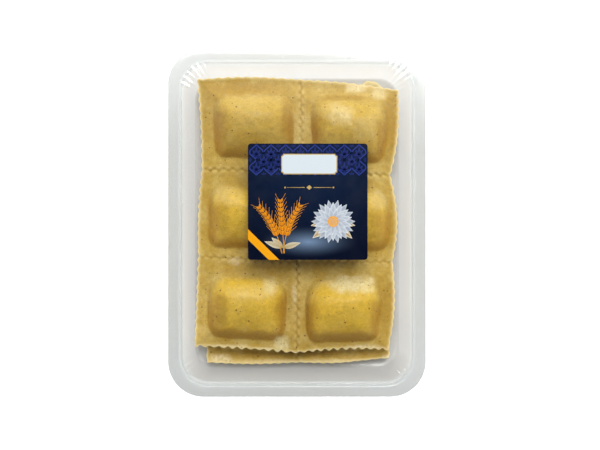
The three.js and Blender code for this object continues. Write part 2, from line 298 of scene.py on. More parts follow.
def flute(inset, z, round_corner):
    """How far a corner's wall stands in and out, which stiffens it."""
    step_z = tray_top.z - STEP_DROP
    on_wall = ease(z, *FLUTE_FOOT) * (1 - ease(z, *(step_z - depth for depth in FLUTE_HEAD)))
    on_wall = on_wall * (inset > FLANGE + 0.5)
    ends = np.sin(pi * round_corner) ** 0.5
    return FLUTE_DEPTH * on_wall * ends * np.cos(2 * pi * FLUTES * round_corner)


def tray_mesh():
    rings = []
    for inset, z in tray_section():
        half = np.array([tray_top.x - inset, tray_top.y - inset])
        flat, round_corner = rounded_ring(*half, corner_radius(inset))
        outward = flat - np.clip(flat, OUTER_CORNER - half, half - OUTER_CORNER)
        outward = outward / np.maximum(np.linalg.norm(outward, axis=1, keepdims=True), 1e-9)
        flat = flat + outward * flute(inset, z, round_corner)[:, None]
        rings.append(np.column_stack([flat, np.full(len(flat), z)]))
    count = len(rings[0])
    floor_rings = [list(range(count))[::-1], [(len(rings) - 1) * count + k for k in range(count)]]
    return np.concatenate(rings) * MM, ring_faces(len(rings), count) + floor_rings


plastic = Finish("tray_plastic", Roughness=0.25)
height = plastic.axes(plastic.place())["Z"]
# Painted light: cool at the flange for the room's reflection, and warmer and a little darker lower down for
# shade and light thrown back by the food.
tint = plastic.mixed(plastic.ranged(height, *((tray_top.z - drop) * MM for drop in PAINTED_TINT_DEPTHS)),
                     (0.93, 0.935, 0.93), (0.94, 0.985, 1.0))
plastic.give(Base_Color=tint)
milky = plastic("MixShader", MILKINESS, plastic.shader.outputs[0], plastic("BsdfTranslucent", Color=tint))
facing = plastic("LayerWeight", Blend=0.35, out="Facing")
# Light goes through it with little loss, so its own shadow is faint.
in_shadow = plastic("LightPath", out="Is Shadow Ray")
cover = plastic.times(plastic.ranged(facing, 0, 1, *VEIL),
                      plastic.maths("MULTIPLY_ADD", in_shadow, -LET_THROUGH, 1))
hazy = plastic("MixShader", cover, plastic("BsdfTransparent"), milky)
glint = plastic.maths("MINIMUM", plastic("Fresnel", IOR=1.5), GLINT)
glossy = plastic("MixShader", glint, hazy, plastic("BsdfAnisotropic", Roughness=0.11))
plastic.feed(plastic.tree.nodes["Material Output"].inputs, {"Surface": glossy})

tray = mesh_piece("tray_shell", *tray_mesh(), plastic)
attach(tray, "root")
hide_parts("tray")


# ---------------------------------------------------------------------------
# The ravioli: two sheets of egg dough with a filling between them, pressed
# together round each portion and scored, but not parted, with a waved wheel.
# The same wheel cut the outline. The lower sheet lies flat on the tray's
# floor, and the upper one lies over its pillows.

DOUGH = 2.2
OUTLINE_SQUARENESS = {"far": 4.6, "near": 8.5}
CROWN_ROUNDNESS = 2.0
CROWN_FLATNESS = {"far": 1.6, "near": 1.75, "side": 3.4}
FOOT_STEEPNESS = {"far": 0.95, "near": 0.88, "side": 0.72}
CROWN_TO_FAR = 4.5
FOOT_FILLET = 0.8
RISE_SPREAD = 0.04
RIPPLE_LENGTH = 14.0
RIM_REACH = 12.0
SWELL_REACH = 14.0
WAVE_REACH = 2.6
EAR_REACH = 9.0
WHEEL_PITCH = 4.9
WHEEL_DEPTH = {"near": 1.2, "right": 0.4, "far": 0.5, "left": 0.6, "seam": 1.25}
GROOVE_WIDTH = 0.42
VALLEY_WIDTH = 2.2
LOBE_OUT, LOBE_WIDTH = 1.05, 0.7
CREST_OUT, CREST_WIDTH = 2.2, 0.55
CUT_BULGE, CUT_RINGS = 0.18, (0.35, 0.75)
CUT_ROUND, CUT_ROUND_REACH = 0.3, 0.4
CUT_PALE = 0.9                       # how far in from the cut edge the dough is paler
LAYER_GAP = 0.4

# Both are given along their seams, column by column from the left and from the far end.
# A patch on the skin has its middle, half width, half length and strength.
LOWER = {
    "seam_x": np.repeat([[-50], [0.4], [51.3]], 4, axis=1),
    "seam_y": np.repeat([[74.5, 23.5, -27.5, -77.3]], 3, axis=0),
    "left": [0.6, 0.4, 0.3], "right": [0.5, 0.6, 0.2], "far": [0.6, 0.4], "near": [0.9, 0.5],
    "margin_left": [[6.2, 6, 6.4], [6, 6.4, 6.2]], "margin_right": [[6, 6.4, 6.2], [6.4, 6.2, 6]],
    "margin_far": [[7, 6.6, 6.8], [6.8, 7, 6.6]], "margin_near": [[6.6, 7, 6.4], [6.8, 6.4, 6.2]],
    "crown_shift": [[1, -1, 0], [0, 1, -1]],
    "underside": 1, "rise": 12.4, "rim_lift": 1.1, "near_lift": 3.5, "ripple": 0,
    "ear": (41, 8, 4.6), "near_wave": 0.35, "near_slant": 2.4, "near_lip": 0.45, "seed": 11, "cell": 0.7,
    "yolk": [[1, 1, 1], [1, 1, 1]],
    # Painted glare of the film where the sheet's far right corner shows.
    "wet_and_glare": [(42, 77, 9, 3, 0.5)],
    # Painted shade under the upper sheet's near edge, on the strip that shows below it.
    "shade_and_damp": [(-2, -72.8, 54, 3.4, 0.9)],
    "floury": [(-42, -75.5, 7, 3, 0.7), (50, -75, 3, 2.4, 0.9), (-12, -76.6, 22, 1.2, 0.35),
               (22, -76.6, 20, 1.2, 0.35)],
}
UPPER = {
    "seam_x": np.array([[-54.7, -52.2, -54.2, -56.2], [2.2, 2.5, 0.3, -0.2], [55.7, 51.3, 52.5, 50.3]]),
    "seam_y": np.array([[79, 29.2, -18.5, -67.4], [78.8, 28.5, -21.3, -71.2], [73.1, 26, -21.4, -69.4]]),
    "left": [-0.6, 1, 0], "right": [2, 3.2, 2.2], "far": [1.5, 1], "near": [-0.4, -1.2],
    "margin_left": [[8.1, 5.4, 6.9], [6, 6.2, 5.2]], "margin_right": [[4.6, 6.2, 6], [5.2, 2.7, 6.2]],
    "margin_far": [[7.3, 8.2, 8.6], [6.7, 7.7, 8.6]], "margin_near": [[6.7, 6, 5.7], [6.4, 6, 4.8]],
    "crown_shift": [[-4, -1, -1], [3.5, -1, 0]],
    "underside": 16, "rise": 13.2, "rim_lift": -3.2, "near_lift": 0, "ripple": 0.45,
    "ear": None, "near_wave": 1, "near_slant": 0, "near_lip": 0.15, "seed": 29, "cell": 0.5,
    "yolk": [[0.35, 1, 1.1], [0.4, 1, 1.1]],
    # Pale streaked patches where the film clings: painted reflection of the window, with real gloss from the
    # coat.
    "wet_and_glare": [(30.4, -33.6, 13.8, 5, 1.35), (-14.8, -34.5, 4.4, 4.6, 0.9), (23.3, 58.2, 8.4, 6.6, 0.65),
            (32.5, 74.3, 6.5, 2.8, 0.9), (45.2, 71, 4.6, 3.6, 0.6), (37, 51, 7, 8, 0.3),
            (-27.7, 64.4, 14, 7, 0.12), (-36.1, 14.5, 10, 5.4, 0.3), (43, 13, 6, 6, 0.4),
            (-8.2, -66.2, 4.6, 4.6, 1.2), (-25, -37.4, 15, 5, 0.3)],
    # Darker, browner patches: partly damp dough, partly painted shade under the label's near edge and on the
    # right-hand margins and slopes.
    "shade_and_damp": [(-46, 72, 9, 8, 0.9), (-26, 73.5, 22, 5.4, 1.1), (-49.5, 52, 4.6, 22, 0.5),
             (-48, 6, 4.2, 20, 0.45), (51.5, 52, 6.4, 24, 1.2), (51.5, 2, 4.8, 20, 0.7),
             (49.5, -46, 5.8, 22, 1), (-5.5, 58, 3.4, 12, 1), (26, 68.4, 16, 2, 1.2), (42, -2, 4.6, 16, 0.6),
             (-40, 5, 4.6, 14, 0.6), (-41.5, 52, 5.4, 16, 0.85), (-41, -47, 4.8, 15, 0.85),
             (-25, -25.6, 24, 4.4, 0.6)],
    "floury": [(37, -68.4, 12, 1.6, 0.6), (11, -70.4, 4, 1.5, 0.5), (-38, -67.8, 14, 1.5, 0.5),
               (-19, -69.5, 7, 1.5, 0.5), (-1.4, -40, 1.6, 7, 0.5), (-34, -21, 5, 2.6, 0.4)],
}


def between(first, second, third, fourth, across, along):
    """A value between those at four corners, two and two."""
    start = first * (1 - across) + second * across
    end = third * (1 - across) + fourth * across
    return start * (1 - along) + end * along


def lumps(x, y, size, seed):
    """Soft random hills about size millimetres across, from -1 to 1."""
    hills = np.random.default_rng(seed).uniform(-1, 1, (64, 64))
    ix, iy = np.floor(x / size).astype(int), np.floor(y / size).astype(int)
    corners = (hills[(ix + i) % 64, (iy + j) % 64] for j in (0, 1) for i in (0, 1))
    return between(*corners, ease(x / size - ix, 0, 1), ease(y / size - iy, 0, 1))


def fade(depth, reach):
    return np.clip(1 - depth / reach, 0, 1) ** 2


def ridge(offset, width):
    return np.exp(-(offset / width) ** 2)


def softened(height, passes):
    """Rounds the edges of a height on a grid, a little in each pass."""
    for _ in range(passes):
        height = height.copy()
        inner = height[1:-1, 1:-1]
        around = height[2:, 1:-1] + height[:-2, 1:-1] + height[1:-1, 2:] + height[1:-1, :-2]
        inner += 0.2 * (around - 4 * inner)
    return height


def wheel_wave(run, side, seed):
    """The waved wheel's line, a little uneven, as millimetres out of straight."""
    drift = 0.9 * lumps(run, run * 0, 23, abs(seed) + 40)
    strength = 1 + 0.35 * lumps(run, run * 0, 11, abs(seed) + 60)
    return WHEEL_DEPTH[side] / 2 * strength * np.sin(2 * pi * run / WHEEL_PITCH + drift)


class Sheet:
    """A sheet of joined ravioli on a grid of places: u across its columns, v along its rows."""

    def __init__(self, facts, u, v):
        self.facts, self.u, self.v = facts, u, v
        columns, rows = facts["seam_x"].shape[0] - 1, facts["seam_x"].shape[1] - 1
        self.column = np.clip(np.floor(u).astype(int), 0, columns - 1)
        self.row = np.clip(np.floor(v).astype(int), 0, rows - 1)
        self.across, self.along = u - self.column, v - self.row
        seam_x, seam_y = ([facts[seam][self.column + i, self.row + j] for j in (0, 1) for i in (0, 1)]
                          for seam in ("seam_x", "seam_y"))
        self.x, self.y = (between(*seam, self.across, self.along) for seam in (seam_x, seam_y))
        self.half_x = (seam_x[1] + seam_x[3] - seam_x[0] - seam_x[2]) / 4
        self.half_y = (seam_y[0] + seam_y[1] - seam_y[2] - seam_y[3]) / 4
        self.to_left, self.to_right = 2 * self.half_x * u, 2 * self.half_x * (columns - u)
        self.to_far, self.to_near = 2 * self.half_y * v, 2 * self.half_y * (rows - v)
        self.to_rim = np.minimum.reduce([self.to_left, self.to_right, self.to_far, self.to_near])

    def lumps(self, size, seed):
        return lumps(self.x, self.y, size, seed)

    def cut_outline(self):
        """Moves the places near the rim to where the waved wheel cut."""
        facts = self.facts
        sideways = (self.row, self.along, self.v / 3 * np.ptp(facts["seam_y"][0]))
        lengthways = (self.column, self.across, self.u / 2 * np.ptp(facts["seam_x"][:, 0]))
        x, y = self.x.copy(), self.y.copy()
        for side, depth, sign, seed, pushed, (cell, share, run) in (
                ("left", self.to_left, -1, -1, x, sideways), ("right", self.to_right, 1, 1, x, sideways),
                ("far", self.to_far, 1, 5, y, lengthways), ("near", self.to_near, -1, -5, y, lengthways)):
            swell = np.array(facts[side])[cell] * np.sin(pi * share)
            wave = wheel_wave(run, side, facts["seed"] + seed) * (facts["near_wave"] if side == "near" else 1)
            pushed += sign * (swell * fade(depth, SWELL_REACH) + wave * fade(depth, WAVE_REACH))
        if facts["ear"]:
            centre, half_width, reach = facts["ear"]
            away = np.clip(np.abs(self.x - centre) / half_width, 0, 1)
            y += reach * np.cos(away * pi / 2) * fade(self.to_far, EAR_REACH)
        y += facts["near_slant"] * ease(self.x, 16, 52) * fade(self.to_near, SWELL_REACH)
        self.x, self.y = x, y

    def own(self, name):
        """Each place's value for its own raviolo."""
        return np.array(self.facts[name], float)[self.column, self.row]

    def towards_foot(self, size, share, before, after, shift):
        """How far a place is from its pillow's crown: -1 at the foot before it, 1 at the one after."""
        first, second = self.own(before), size - self.own(after)
        crown = (first + second) / 2 + shift
        place = share * size
        return (place - crown) / np.where(place < crown, crown - first, second - crown)

    def pillow(self):
        """From 0 at a pillow's foot to about 1 at its crown."""
        a = self.towards_foot(2 * self.half_x, self.across, "margin_left", "margin_right",
                              self.own("crown_shift"))
        b = self.towards_foot(2 * self.half_y, self.along, "margin_far", "margin_near", -CROWN_TO_FAR)
        lengthways = b ** 2 / (a ** 2 + b ** 2 + 1e-9)
        flatness, steepness = (
            blend["side"] + lengthways * (np.where(b < 0, blend["far"], blend["near"]) - blend["side"])
            for blend in (CROWN_FLATNESS, FOOT_STEEPNESS))
        outline = np.where(b < 0, OUTLINE_SQUARENESS["far"], OUTLINE_SQUARENESS["near"])
        outline = CROWN_ROUNDNESS + (outline - CROWN_ROUNDNESS) * np.clip(np.abs(b), 0, 1)
        a, b = np.abs(a), np.abs(b)
        square = CROWN_ROUNDNESS + (outline - CROWN_ROUNDNESS) * np.clip(np.maximum(a, b), 0, 1) ** 2
        reach = (a ** square + b ** square + 1e-9) ** (1 / square)
        reach = reach + 0.02 * self.lumps(9, self.facts["seed"])
        full = 1 - np.clip(reach, 0, 1) ** flatness
        filling = 1 - RISE_SPREAD * (1 + np.sin(2 * self.column + 3 * self.row)) / 2
        return softened(filling * full ** steepness, int(FOOT_FILLET / self.facts["cell"] ** 2))

    def patches(self, kind, seed):
        """The sheet's patches of one kind, with soft ragged edges."""
        cover = np.zeros_like(self.x)
        ragged = 0.16 * self.lumps(3.4, seed) + 0.1 * self.lumps(1.4, seed + 1)
        for x, y, half_width, half_length, strength in self.facts[kind]:
            away = np.abs((self.x - x) / half_width) ** 3 + np.abs((self.y - y) / half_length) ** 3
            cover = np.maximum(cover, strength * (1 - ease(away ** (1 / 3) + ragged, 0.3, 1.2)))
        return cover

    def underside(self):
        facts = self.facts
        rim = facts["rim_lift"] * (1 - ease(self.to_rim, 0, RIM_REACH))
        wave = np.sin((self.x + self.y) / RIPPLE_LENGTH) * np.cos((self.y - self.x / 2) / RIPPLE_LENGTH)
        near = facts["near_lift"] * (1 - ease(self.to_near, 0, RIM_REACH))
        return facts["underside"] + rim + near + facts["ripple"] * wave

    def seams(self):
        """The scored lines: their depth, how dark each place is painted as shade in the groove and its pits,
        and the raised lobes beside them, painted paler as a highlight.
        The wheel leaves a waved groove with a pit in each bend, and a crest on either side."""
        depth, near, lobes = (np.zeros_like(self.u) for _ in range(3))
        for offset, run, half, seed, pressure in (
                (self.u - 1, self.y, self.half_x, 3, 1), (self.v - 1, self.x, self.half_y, 5, 0.8),
                (self.v - 2, self.x, self.half_y, 7, 0.8)):
            straight = 2 * half * offset
            wave = wheel_wave(run, "seam", seed)
            turn = wave / (WHEEL_DEPTH["seam"] / 2)
            strength = pressure * (0.85 + 0.25 * self.lumps(9, seed) + 0.25 * self.lumps(3, seed))
            groove = ridge(straight - wave, GROOVE_WIDTH)
            pit = groove * ease(np.abs(turn), 0.35, 0.95)
            depth += strength * (0.3 * groove + 0.6 * pit + 0.3 * ridge(straight, VALLEY_WIDTH))
            near = np.maximum(near, strength * (0.25 * groove + 0.5 * pit))
            for side in (-1, 1):
                lobe = strength * ridge(straight - side * LOBE_OUT, LOBE_WIDTH) * (0.5 - 0.5 * side * turn)
                crest = strength * ridge(straight - side * CREST_OUT, CREST_WIDTH)
                depth -= 0.58 * lobe + 0.18 * crest
                lobes = np.maximum(lobes, np.maximum(lobe, 0.3 * crest))
        return depth, near, lobes

    def top(self):
        facts, seed = self.facts, self.facts["seed"]
        pillow, scored = self.pillow(), self.seams()[0]
        rounded = CUT_ROUND * np.exp(-self.to_rim / CUT_ROUND_REACH) * (self.to_near > self.to_rim + 0.01)
        rounded = rounded - facts["near_lip"] * np.exp(-self.to_near / 0.6)
        pressed = 0.16 * np.exp(-self.to_rim / 1.8) * self.lumps(WHEEL_PITCH / 2, seed + 1)
        pressed = pressed + 0.28 * (1 - pillow) * self.lumps(8, seed + 5)
        lumpy = 0.34 * self.lumps(7, seed + 2) + 0.2 * self.lumps(2.6, seed + 3)
        fine = 0.05 * self.lumps(1.2, seed + 4)
        return (self.underside() + DOUGH - scored - rounded + pressed + fine
                + facts["rise"] * pillow + lumpy * pillow)

    def shade_on_near_slopes(self, height):
        """Painted shade down a pillow's steep sides that face the near end, away from the window. The far
        sides, which face it, get none.
        """
        along_x, along_y = np.gradient(softened(height, 4))
        rise_x, rise_y = along_x / np.gradient(self.x, axis=0), along_y / np.gradient(self.y, axis=1)
        return ease(np.hypot(rise_x, rise_y), 0.35, 1.4) * ease(rise_y, -0.55, 0.35)


def top_of_lower(x, y):
    """The lower sheet's upper face, found from X and Y, as its seams are straight."""
    u, v = (np.clip(count * (value - seam[0]) / (seam[-1] - seam[0]), 0, count)
            for count, value, seam in ((2, x, LOWER["seam_x"][:, 0]), (3, y, LOWER["seam_y"][0])))
    return Sheet(LOWER, u, v).top()


def rim_of(shape):
    """The numbers of a grid's outer points, anticlockwise from above, u to +X and v to -Y."""
    number = np.arange(shape[0] * shape[1]).reshape(shape)
    near, right = number[:-1, -1], number[-1, ::-1][:-1]
    far, left = number[::-1, 0][:-1], number[0, :-1]
    return np.concatenate([near, right, far, left])


def grid_faces(shape, first=0, upwards=True):
    number = first + np.arange(shape[0] * shape[1]).reshape(shape)
    corners = [number[:-1, :-1], number[:-1, 1:], number[1:, 1:], number[1:, :-1]]
    return np.stack([part.ravel() for part in corners[::1 if upwards else -1]], 1).tolist()


def ravioli_mesh(facts):
    """A closed sheet: a fine upper face, a coarser underside and a rounded cut edge."""
    count_u = 2 * int(np.ptp(facts["seam_x"][:, 0]) / facts["cell"] / 2) + 1
    count_v = 2 * int(np.ptp(facts["seam_y"][0]) / facts["cell"] / 2) + 1
    u, v = np.meshgrid(np.linspace(0, 2, count_u), np.linspace(0, 3, count_v), indexing="ij")
    sheet = Sheet(facts, u, v)
    sheet.cut_outline()
    top, under = sheet.top(), sheet.underside()
    if facts is UPPER:
        under = np.maximum(under, top_of_lower(sheet.x, sheet.y) + LAYER_GAP)
    upper, lower = (np.stack([sheet.x, sheet.y, z], 2) for z in (top, under))
    rim = rim_of(u.shape)
    high, low = upper.reshape(-1, 3)[rim], lower.reshape(-1, 3)[rim]
    outward = (high - np.roll(high, 1, 0))[:, [1, 0, 2]] * [1, -1, 0]
    outward /= np.maximum(np.linalg.norm(outward, axis=1, keepdims=True), 1e-6)
    edges = [high * (1 - t) + low * t + outward * CUT_BULGE * sin(pi * t) for t in CUT_RINGS]
    coarse = lower[::2, ::2]
    points = np.concatenate([upper.reshape(-1, 3), coarse.reshape(-1, 3), *edges])
    faces = grid_faces(u.shape) + grid_faces(coarse.shape[:2], u.size, False)
    first, second = u.size + coarse.size // 3 + np.arange(2 * len(rim)).reshape(2, -1)
    for outer, inner in ((rim, first), (first, second)):
        faces += np.stack([outer, inner, np.roll(inner, -1), np.roll(outer, -1)], 1).tolist()
    here, a, b = u.size + rim_of(coarse.shape[:2]), second[::2], second[1::2]
    following = np.roll(here, -1)
    for corners in ((a, here, b), (b, here, following), (b, following, np.roll(a, -1))):
        faces += np.stack(corners, 1).tolist()
    _, scored, lobes = sheet.seams()
    pillow = sheet.pillow()
    skin = {"pillow": pillow, "yolk": ease(pillow, 0.05, 0.6) * sheet.own("yolk"), "scored": scored,
            "lobes": lobes, "cut": np.exp(-sheet.to_rim / CUT_PALE), "shade_on_near_slopes": sheet.shade_on_near_slopes(top),
            "wet_and_glare": sheet.patches("wet_and_glare", 81), "shade_and_damp": sheet.patches("shade_and_damp", 85),
            "floury": sheet.patches("floury", 83)}
    rest = len(points) - u.size
    marks = {name: np.concatenate([value.ravel(), np.full(rest, 1.0 if name == "cut" else 0.0)])
             for name, value in skin.items()}
    return points * MM, faces, marks


FLAT_DOUGH = (0.52, 0.345, 0.060)
FILLED_DOUGH = (0.75, 0.49, 0.046)
# Painted shade for the pillows' sides that face the near end.
NEAR_SLOPE_SHADE = (0.46, 0.228, 0.009)
PALE_DOUGH = (0.78, 0.62, 0.24)
CUT_DOUGH = (0.90, 0.76, 0.40)
GLARE_ON_DOUGH = (0.86, 0.75, 0.40)
SHADE_AND_DAMP_DOUGH = (0.44, 0.265, 0.028)
FLOUR = (0.90, 0.83, 0.60)
BRAN = (0.17, 0.075, 0.020)
FINE_BRAN = (0.38, 0.21, 0.06)
GROOVE_SHADE = (0.33, 0.18, 0.045)

dough = Finish("egg_dough", Subsurface_Weight=0.15, Subsurface_Scale=0.003,
               Subsurface_Radius=(1.0, 0.55, 0.2), Specular_IOR_Level=0.2, Coat_Roughness=0.38)
place = dough.place()
pillow, yolk, scored, lobes, cut, shade_on_near_slopes, wet_and_glare, shade_and_damp, floury = (
    dough("Attribute", attribute_name=name, out="Fac")
    for name in ("pillow", "yolk", "scored", "lobes", "cut", "shade_on_near_slopes", "wet_and_glare", "shade_and_damp", "floury"))


def flecks(scale, least, most):
    """Round flecks of uneven size, one to a cell at most."""
    cells = dough("TexVoronoi", Vector=place, Scale=scale, out=None)
    chance = dough("SeparateColor", cells["Color"])
    gap = dough.maths("SUBTRACT", dough.ranged(chance, 0.45, 1, least, most), cells["Distance"])
    return dough.ranged(gap, 0, 0.05)


cloudy = dough.times(dough.ranged(dough.noise(place, 75, 4, 0.6), 0.42, 0.72, 0, 0.55),
                     dough.ranged(pillow, 0, 0.7, 1, 0.35))
dusted = dough.times(floury, dough.ranged(dough.noise(place, 520, 4, 0.7), 0.4, 0.6, 0.3, 0.9))
# Painted reflection: where the film clings, pale streaks along Y stand in for its glare; the same mask also
# raises the coat.
drawn = dough("Mapping", Vector=place, Scale=(1, 0.04, 1))
glare_streaks = dough.times(wet_and_glare, dough.ranged(dough.noise(drawn, 620, 3, 0.6), 0.35, 0.65, 0.45, 0.8))
colour = FLAT_DOUGH
# Painted shade: the shade-and-damp patches and the pillows' near-facing sides are mixed in darker and
# browner.
for cover, laid in ((yolk, FILLED_DOUGH), (cloudy, PALE_DOUGH), (dough.times(shade_and_damp, 0.8), SHADE_AND_DAMP_DOUGH),
                    (dough.times(shade_on_near_slopes, 0.76), NEAR_SLOPE_SHADE)):
    colour = dough.mixed(cover, colour, laid)
mottle = dough.ranged(dough.noise(place, 480, 5, 0.85), 0.3, 0.7, 0.78, 1.17)
colour = dough.mixed(1, colour, dough("CombineColor", mottle, mottle, mottle), "MULTIPLY")
# Painted light: shade in the scored grooves and pits, and a paler highlight on the lobes beside them.
for cover, laid in ((dough.times(scored, 0.54), GROOVE_SHADE), (dough.times(lobes, 0.5), PALE_DOUGH),
                    (dusted, FLOUR), (glare_streaks, GLARE_ON_DOUGH),
                    (dough.times(flecks(460, -0.3, 0.28), 0.85), BRAN),
                    (dough.times(flecks(700, 0, 0.3), 0.65), FINE_BRAN),
                    (dough.ranged(cut, 0.15, 0.9, 0, 0.8), CUT_DOUGH)):
    colour = dough.mixed(cover, colour, laid)
moisture = dough.times(pillow, dough.ranged(dough.noise(place, 60), 0.35, 0.65, 0.05, 0.3))
dimples = dough.bump(dough.noise(place, 380, 3, 0.6), 0.35, 0.0006)
grain = dough.bump(dough.noise(place, 1300, 4, 0.7), 0.35, 0.0003, Normal=dimples)
dough.give(Base_Color=colour, Roughness=dough.ranged(pillow, 0, 0.6, 0.66, 0.52),
           Coat_Weight=dough.maths("MAXIMUM", moisture, glare_streaks), Normal=grain)

for name, cad_node, facts in (("ravioli_lower", "ravioli_sheet_lower", LOWER),
                              ("ravioli_upper", "ravioli_sheet_upper", UPPER)):
    points, faces, marks = ravioli_mesh(facts)
    sheet_piece = mesh_piece(name, points, faces, dough)
    for mark, values in marks.items():
        layer = sheet_piece.data.attributes.new(mark, "FLOAT", "POINT")
        layer.data.foreach_set("value", values.astype(np.float32))
    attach(sheet_piece, "root")
    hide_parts(cad_node)


# ---------------------------------------------------------------------------
# The lidding film: thin clear plastic, sealed hot to the flange.
# It lies flat on the flange, hangs a little inside it, and has puckered at the
# corners, where the seal drew it in.

FILM_THICKNESS = 0.12
FILM_SAG = 0.45
FILM_RINGS = 70
SEAL_INSETS = [0, 0.08, 1.5, 3.0, 4.5, 5.6]
LOOSE_REACH = 12.0
WAVES, WAVE_LENGTH = 0.05, 16.0
PUCKERS = 7
PUCKER_DEPTH = 0.2
PUCKER_START = (-0.5, 2.5)           # from the flange's inner edge
PUCKER_END = (2.0, 11.0)
FILM_INDEX, INDEX_INSIDE = 1.45, 0.69
FILM_GLOSS = (0.035, 0.95)           # seen straight and edge on

film_low, film_high = (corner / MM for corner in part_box("lid_film"))


def film_mesh():
    half_x, half_y = film_high.x, film_high.y
    rings = []
    for inset in [*SEAL_INSETS, *np.linspace(FLANGE + 0.2, half_x - 1.5, FILM_RINGS)]:
        radius = min(corner_radius(inset), 0.6 * (half_x - inset))
        flat, round_corner = rounded_ring(half_x - inset, half_y - inset, radius)
        loose = ease(inset, FLANGE, FLANGE + LOOSE_REACH)
        wavy = WAVES * lumps(*flat.T, WAVE_LENGTH, 71) * loose * ease(half_x - inset, 1.5, 10)
        start, end = (ease(inset - FLANGE, *reach) for reach in (PUCKER_START, PUCKER_END))
        ends = np.sin(pi * round_corner) ** 0.5 * (round_corner > 0)
        uneven = np.clip(0.45 + 0.75 * lumps(*flat.T, 5, 91), 0, 1)
        folds = np.cos(2 * pi * PUCKERS * round_corner + 0.5 * lumps(*flat.T, 6, 73))
        pucker = PUCKER_DEPTH * folds * start * (1 - end) * ends * uneven
        rings.append(np.column_stack([flat, film_low.z - FILM_SAG * loose + wavy + pucker]))
    count = len(rings[0])
    bottom = np.concatenate(rings)
    total = len(bottom)
    faces = ring_faces(len(rings), count) + [list(range(total - count, total))]
    faces += [[total + i for i in face[::-1]] for face in faces]
    faces += [[(k + 1) % count, k, total + k, total + (k + 1) % count] for k in range(count)]
    return np.concatenate([bottom + [0, 0, FILM_THICKNESS], bottom]) * MM, faces


clear = Finish("clear_film", Base_Color=(0.97, 0.98, 0.98), Metallic=1.0, Roughness=0.06)
# Seen from inside the film the index turns over, so both faces are given the same one.
inside = clear("NewGeometry", out="Backfacing")
edge_on = clear("Fresnel", IOR=clear.ranged(inside, 0, 1, FILM_INDEX, INDEX_INSIDE))
drawn_lines = clear("Mapping", Vector=clear.place(), Scale=(1, 0.03, 1))
clear.give(Alpha=clear.ranged(edge_on, 0, 1, *FILM_GLOSS),
           Normal=clear.bump(clear.noise(drawn_lines, 900, 3, 0.6), 0.3, 0.0001))

film = mesh_piece("film", *film_mesh(), clear)
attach(film, "root")
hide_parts("lid_film")


# ---------------------------------------------------------------------------
# The label: a square of coated paper with round corners, glued to the film.
# It is printed dark blue, with a band of old silk ornament round a bare plaque, a
# gold rule, ears of wheat, a white flower on a soft glow, and a corner ribbon.

label_low, label_high = (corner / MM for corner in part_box("label"))
label_centre = (label_low + label_high) / 2
label_half = (label_high - label_low) / 2
LABEL_CORNER = 1.6
INK_LAYERS, INK_STEP = 8, 0.018
PRINTED = "tone"                     # the mesh attribute that shades a printed shape


def on_label(x, y, layer):
    """A place on the label in metres. Each printed layer lies a hair above the one below it."""
    z = label_high.z + (layer - INK_LAYERS) * INK_STEP
    return Vector((label_centre.x + x, label_centre.y + y, z)) * MM


def sockets(tree, in_out, **kinds):
    for name, kind in kinds.items():
        tree.interface.new_socket(name, in_out=in_out, socket_type="NodeSocket" + kind)


printed_ink = bpy.data.node_groups.new("printed_ink", "ShaderNodeTree")
sockets(printed_ink, "INPUT", Light="Color", Dark="Color", Tone="Float", Grain="Float")
sockets(printed_ink, "OUTPUT", Color="Color", Roughness="Float", Normal="Vector")
paper = Recipe(printed_ink)
given = printed_ink.nodes.new("NodeGroupInput").outputs
place = paper.place()
fibres = paper.noise(place, 1500, 4, 0.7)
broken = paper.maths("MULTIPLY_ADD", given["Grain"], paper.ranged(fibres, 0.3, 0.7, -1, 1), given["Tone"],
                     use_clamp=True)
paper.feed(printed_ink.nodes.new("NodeGroupOutput").inputs, {
    "Color": paper.mixed(broken, given["Dark"], given["Light"]),
    "Roughness": paper.ranged(paper.noise(place, 110, 3, 0.6), 0.35, 0.65, 0.15, 0.24),
    "Normal": paper("Bump", Height=fibres, Strength=0.15, Distance=0.00004)})


def ink(name, light, dark, metallic=0.0, tone=None):
    """An ink between two colours, light where a shape's tone is 1."""
    made = Finish("ink_" + name, Specular_IOR_Level=0.11, Metallic=metallic)
    tone = tone(made) if tone else made("Attribute", attribute_name=PRINTED, out="Fac")
    made.printed = made("Group", node_tree=printed_ink, Light=light, Dark=dark, Tone=tone,
                        Grain=0.14, out=None)
    made.give(Base_Color=made.printed["Color"], Roughness=made.printed["Roughness"],
              Normal=made.printed["Normal"])
    return made


def spot(made, x, y, reach_x, reach_y):
    """From 1 at a place on the label to 0 at an oval round it."""
    oval = made("Mapping", vector_type="TEXTURE", Vector=made.place(), Location=on_label(x, y, 0),
                Scale=(reach_x * MM, reach_y * MM, 1))
    return made("TexGradient", gradient_type="SPHERICAL", Vector=oval, out="Fac")


GLOW = (0.15, 0.23, 0.36)
navy = ink("navy", (0.0040, 0.0125, 0.040), (0.0012, 0.0034, 0.014),
           tone=lambda made: spot(made, 2, 16, 62, 46))
light_pool = spot(navy, 0.5, -21.5, 27, 9)
navy.give(Base_Color=navy.mixed(navy.times(light_pool, light_pool), navy.printed["Color"], GLOW))
silk_blue = ink("silk_blue", (0.022, 0.040, 0.235), (0.007, 0.014, 0.075))
gold = ink("gold", (0.60, 0.43, 0.15), (0.26, 0.15, 0.035), metallic=0.3)
plaque_white = ink("plaque_white", (0.60, 0.68, 0.73), (0.50, 0.58, 0.63))
amber = ink("amber", (0.86, 0.38, 0.02), (0.45, 0.10, 0.004))
petal_white = ink("petal_white", (0.70, 0.75, 0.80), (0.17, 0.22, 0.31))
ivory = ink("ivory", (0.78, 0.75, 0.60), (0.34, 0.26, 0.12))
brown = ink("brown", (0.34, 0.12, 0.03), (0.12, 0.03, 0.008))
orange = ink("orange", (0.84, 0.37, 0.008), (0.58, 0.20, 0.004))


